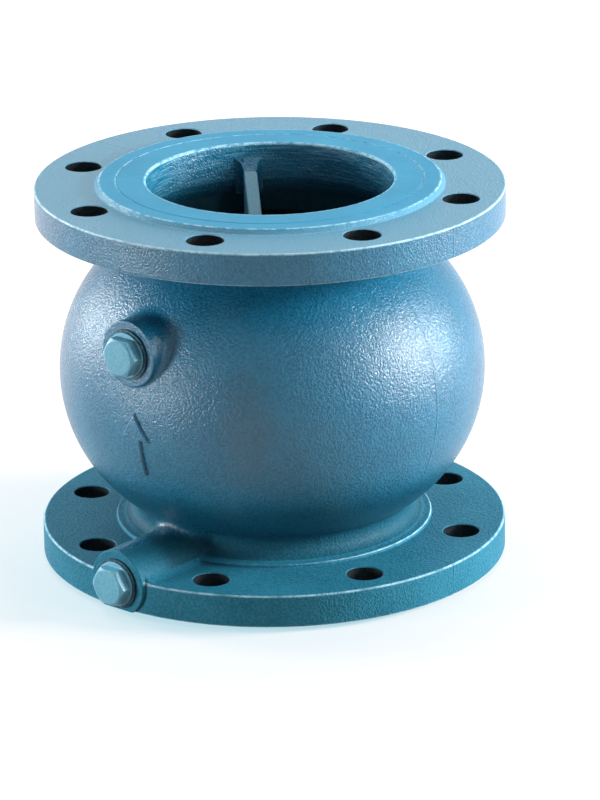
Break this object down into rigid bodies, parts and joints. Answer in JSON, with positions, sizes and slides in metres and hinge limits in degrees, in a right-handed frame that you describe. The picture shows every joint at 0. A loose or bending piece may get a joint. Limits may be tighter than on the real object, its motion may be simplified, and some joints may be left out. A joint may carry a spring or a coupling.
{
  "type": "spring-loaded lift check valve",
  "caption": "Flanged globe-bodied check valve: a spring-loaded disc on a guided stem lifts off a screwed seat ring to let flow pass one way.",
  "frame": {"origin": "centre of the inlet flange's raised face", "axes": "+Z along the flow, from the inlet face to the outlet face; the two screw plugs point along -Y"},
  "size_m": [0.285, 0.2956, 0.238],
  "materials": {
    "coated_iron": "sand-cast grey iron with a blue coating",
    "coated_steel": "steel with the same blue coating",
    "washer_metal": "soft metal sealing washer, coated over",
    "bronze": "turned bronze",
    "bush_bronze": "turned bearing bronze",
    "disc_bronze": "turned bronze casting",
    "stainless": "turned stainless steel",
    "spring_steel": "drawn stainless spring wire",
    "seal_rubber": "black moulded rubber"
  },
  "bodies": {
    "housing": {"body": "coated_iron", "upper_plug": "coated_steel", "lower_plug": "coated_steel", "upper_plug_washer": "washer_metal", "lower_plug_washer": "washer_metal", "seat_ring": "bronze", "seat_o_ring": "seal_rubber", "seat_lock_screws": "stainless", "lower_guide_bush": "bush_bronze", "upper_guide_bush": "bush_bronze", "spring_washer": "stainless", "spring": "spring_steel"},
    "disc_assembly": {"disc": "disc_bronze", "stem": "stainless", "stem_pin": "stainless", "disc_seal": "seal_rubber", "seal_retainer": "disc_bronze", "retainer_screws": "stainless"}
  },
  "joints": [
    {"name": "disc_lift", "type": "slide", "parent": "housing", "child": "disc_assembly", "axis": [0, 0, 1], "range_m": [0, 0.03], "stiffness_N_per_m": 1500, "springref_m": -0.03, "deforming": ["spring"]}
  ]
}
